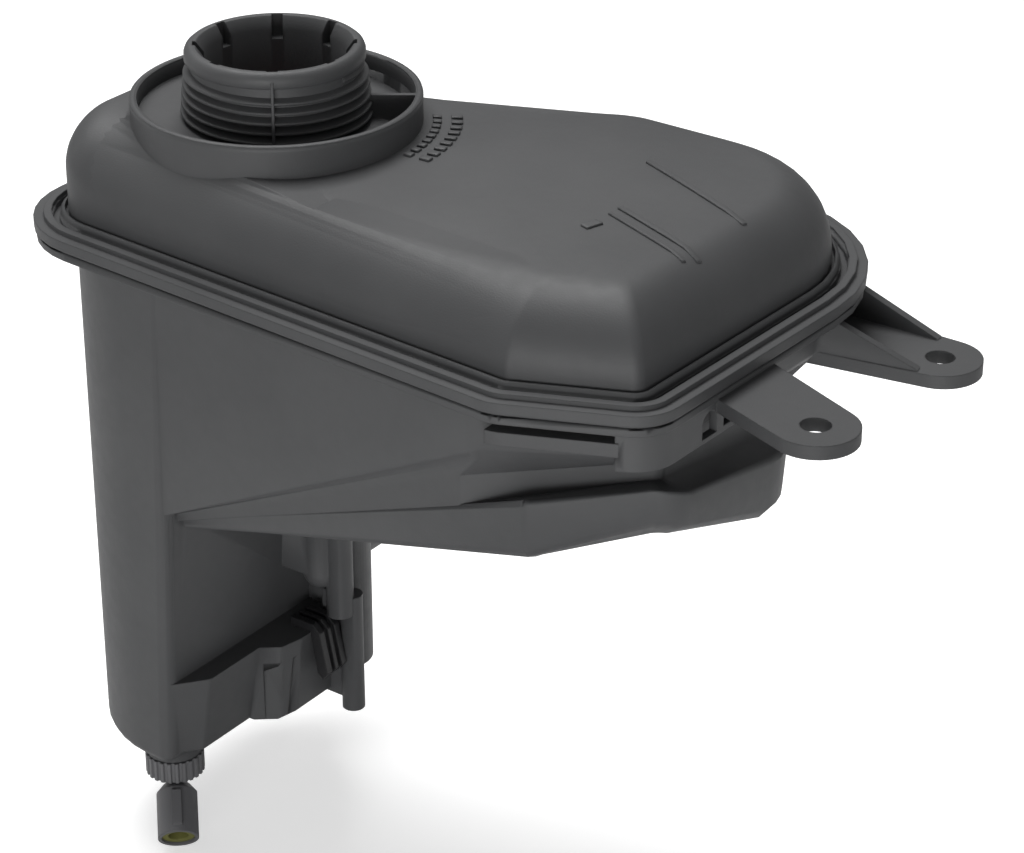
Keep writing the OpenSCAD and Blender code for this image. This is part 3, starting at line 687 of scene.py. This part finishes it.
magnet_finish = worked_metal("magnet_ferrite", (0.02, 0.02, 0.022), (0.035, 0.034, 0.036), 0.6, 0.1)
spring_finish = worked_metal("spring_steel", (0.42, 0.42, 0.43), (0.55, 0.55, 0.56), 0.3, 1)
lead_finish = worked_metal("tinned_lead", (0.50, 0.49, 0.45), (0.62, 0.60, 0.56), 0.35, 1)
contact_finish = worked_metal("brass_contact", (0.52, 0.38, 0.14), (0.62, 0.48, 0.20), 0.3, 1)
glass_finish = worked_metal("switch_glass", (0.30, 0.55, 0.36), (0.36, 0.62, 0.42), 0.1, 0)
glass_finish.node_tree.nodes["Principled BSDF"].inputs["Transmission Weight"].default_value = 0.8
print("finishes:", len(bpy.data.materials))

# %% [markdown]
# ## The small pieces
# The floats, the rod, the sensor and the clip keep their solids: they are small, and mostly
# turned parts whose curves are fine enough. They only need their own plastic, rubber,
# metal or glass.

# %% Small pieces
FINISH = {
    "cable_clip": clip_finish,
    "level_sensor": sensor_finish,
    "connector_seal": seal_finish,
    "indicator_guide": inner_finish,
    "indicator_rod": rod_finish,
    "indicator_float": float_finish,
    "sensor_float": float_finish,
    "float_magnet": magnet_finish,
    "float_retainer": spring_finish,
    "reed_switch": glass_finish,
    "reed_leads": lead_finish,
    "contact_pin_a": contact_finish,
    "contact_pin_b": contact_finish,
}
for node, finish in FINISH.items():
    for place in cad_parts[node].material_slots:
        place.material = finish
print("painted:", ", ".join(FINISH))

# %% [markdown]
# ## Floor and light
# The tank stands over a plain pale floor, which lies just under the lowest point of the
# plug. Three broad soft lamps light it: a strong one high above, a wide one low in front
# on the right, and a faint one on the left. The sky is even and dim as a light, but the
# camera sees it white, and the floor too looks brighter to the camera than it is.

# %% Floor
FLOOR_GLOW = 0.5
low_point = cad_box[0][2]
bpy.ops.mesh.primitive_plane_add(size=14, location=(0, 2.0, low_point - 0.0005))
floor = bpy.context.object
floor.name = "studio_floor"
paper = bpy.data.materials.new("paper_floor")
paper.use_nodes = True
nodes, links = paper.node_tree.nodes, paper.node_tree.links
sheet = nodes["Principled BSDF"]
sheet.inputs["Base Color"].default_value = (0.86, 0.86, 0.86, 1)
sheet.inputs["Roughness"].default_value = 0.8
seen = nodes.new("ShaderNodeLightPath")
glow = nodes.new("ShaderNodeMath")
glow.operation = "MULTIPLY"
glow.inputs[1].default_value = FLOOR_GLOW
links.new(seen.outputs["Is Camera Ray"], glow.inputs[0])
sheet.inputs["Emission Color"].default_value = (1, 1, 1, 1)
links.new(glow.outputs[0], sheet.inputs["Emission Strength"])
floor.data.materials.append(paper)
print("floor lies at", round(low_point - 0.0005, 4))

# %% Lights
def softbox(name, place, aim, size, watts):
    bpy.ops.object.light_add(type="AREA", location=place)
    lamp = bpy.context.object
    lamp.name = name
    lamp.data.shape = "RECTANGLE"
    lamp.data.size, lamp.data.size_y = size
    lamp.data.energy = watts
    lamp.rotation_euler = (Vector(aim) - Vector(place)).to_track_quat("-Z", "Y").to_euler()
    return lamp


TANK_MIDDLE = (0.05, 0.0, -0.10)
softbox("lamp_top", (-0.35, 0.25, 1.1), TANK_MIDDLE, (1.0, 0.8), 18)
softbox("lamp_front", (0.7, -1.25, -0.05), TANK_MIDDLE, (1.0, 0.35), 10)
softbox("lamp_left", (-1.1, -0.4, 0.3), TANK_MIDDLE, (0.7, 0.9), 1.5)

# %% Sky
SKY_LEVEL = 0.27
sky = bpy.data.worlds.new("pale_sky")
bpy.context.scene.world = sky
sky.use_nodes = True
sky.node_tree.nodes["Background"].inputs["Color"].default_value = (1, 1, 1, 1)
sky_light = sky.node_tree.nodes["Background"].inputs["Strength"]
looked_at = sky.node_tree.nodes.new("ShaderNodeLightPath")
level = sky.node_tree.nodes.new("ShaderNodeMapRange")
level.inputs["To Min"].default_value = SKY_LEVEL
level.inputs["To Max"].default_value = 1
sky.node_tree.links.new(looked_at.outputs["Is Camera Ray"], level.inputs["Value"])
sky.node_tree.links.new(level.outputs["Result"], sky_light)
print("sky level:", SKY_LEVEL)
bpy.context.scene.view_settings.view_transform = "Standard"
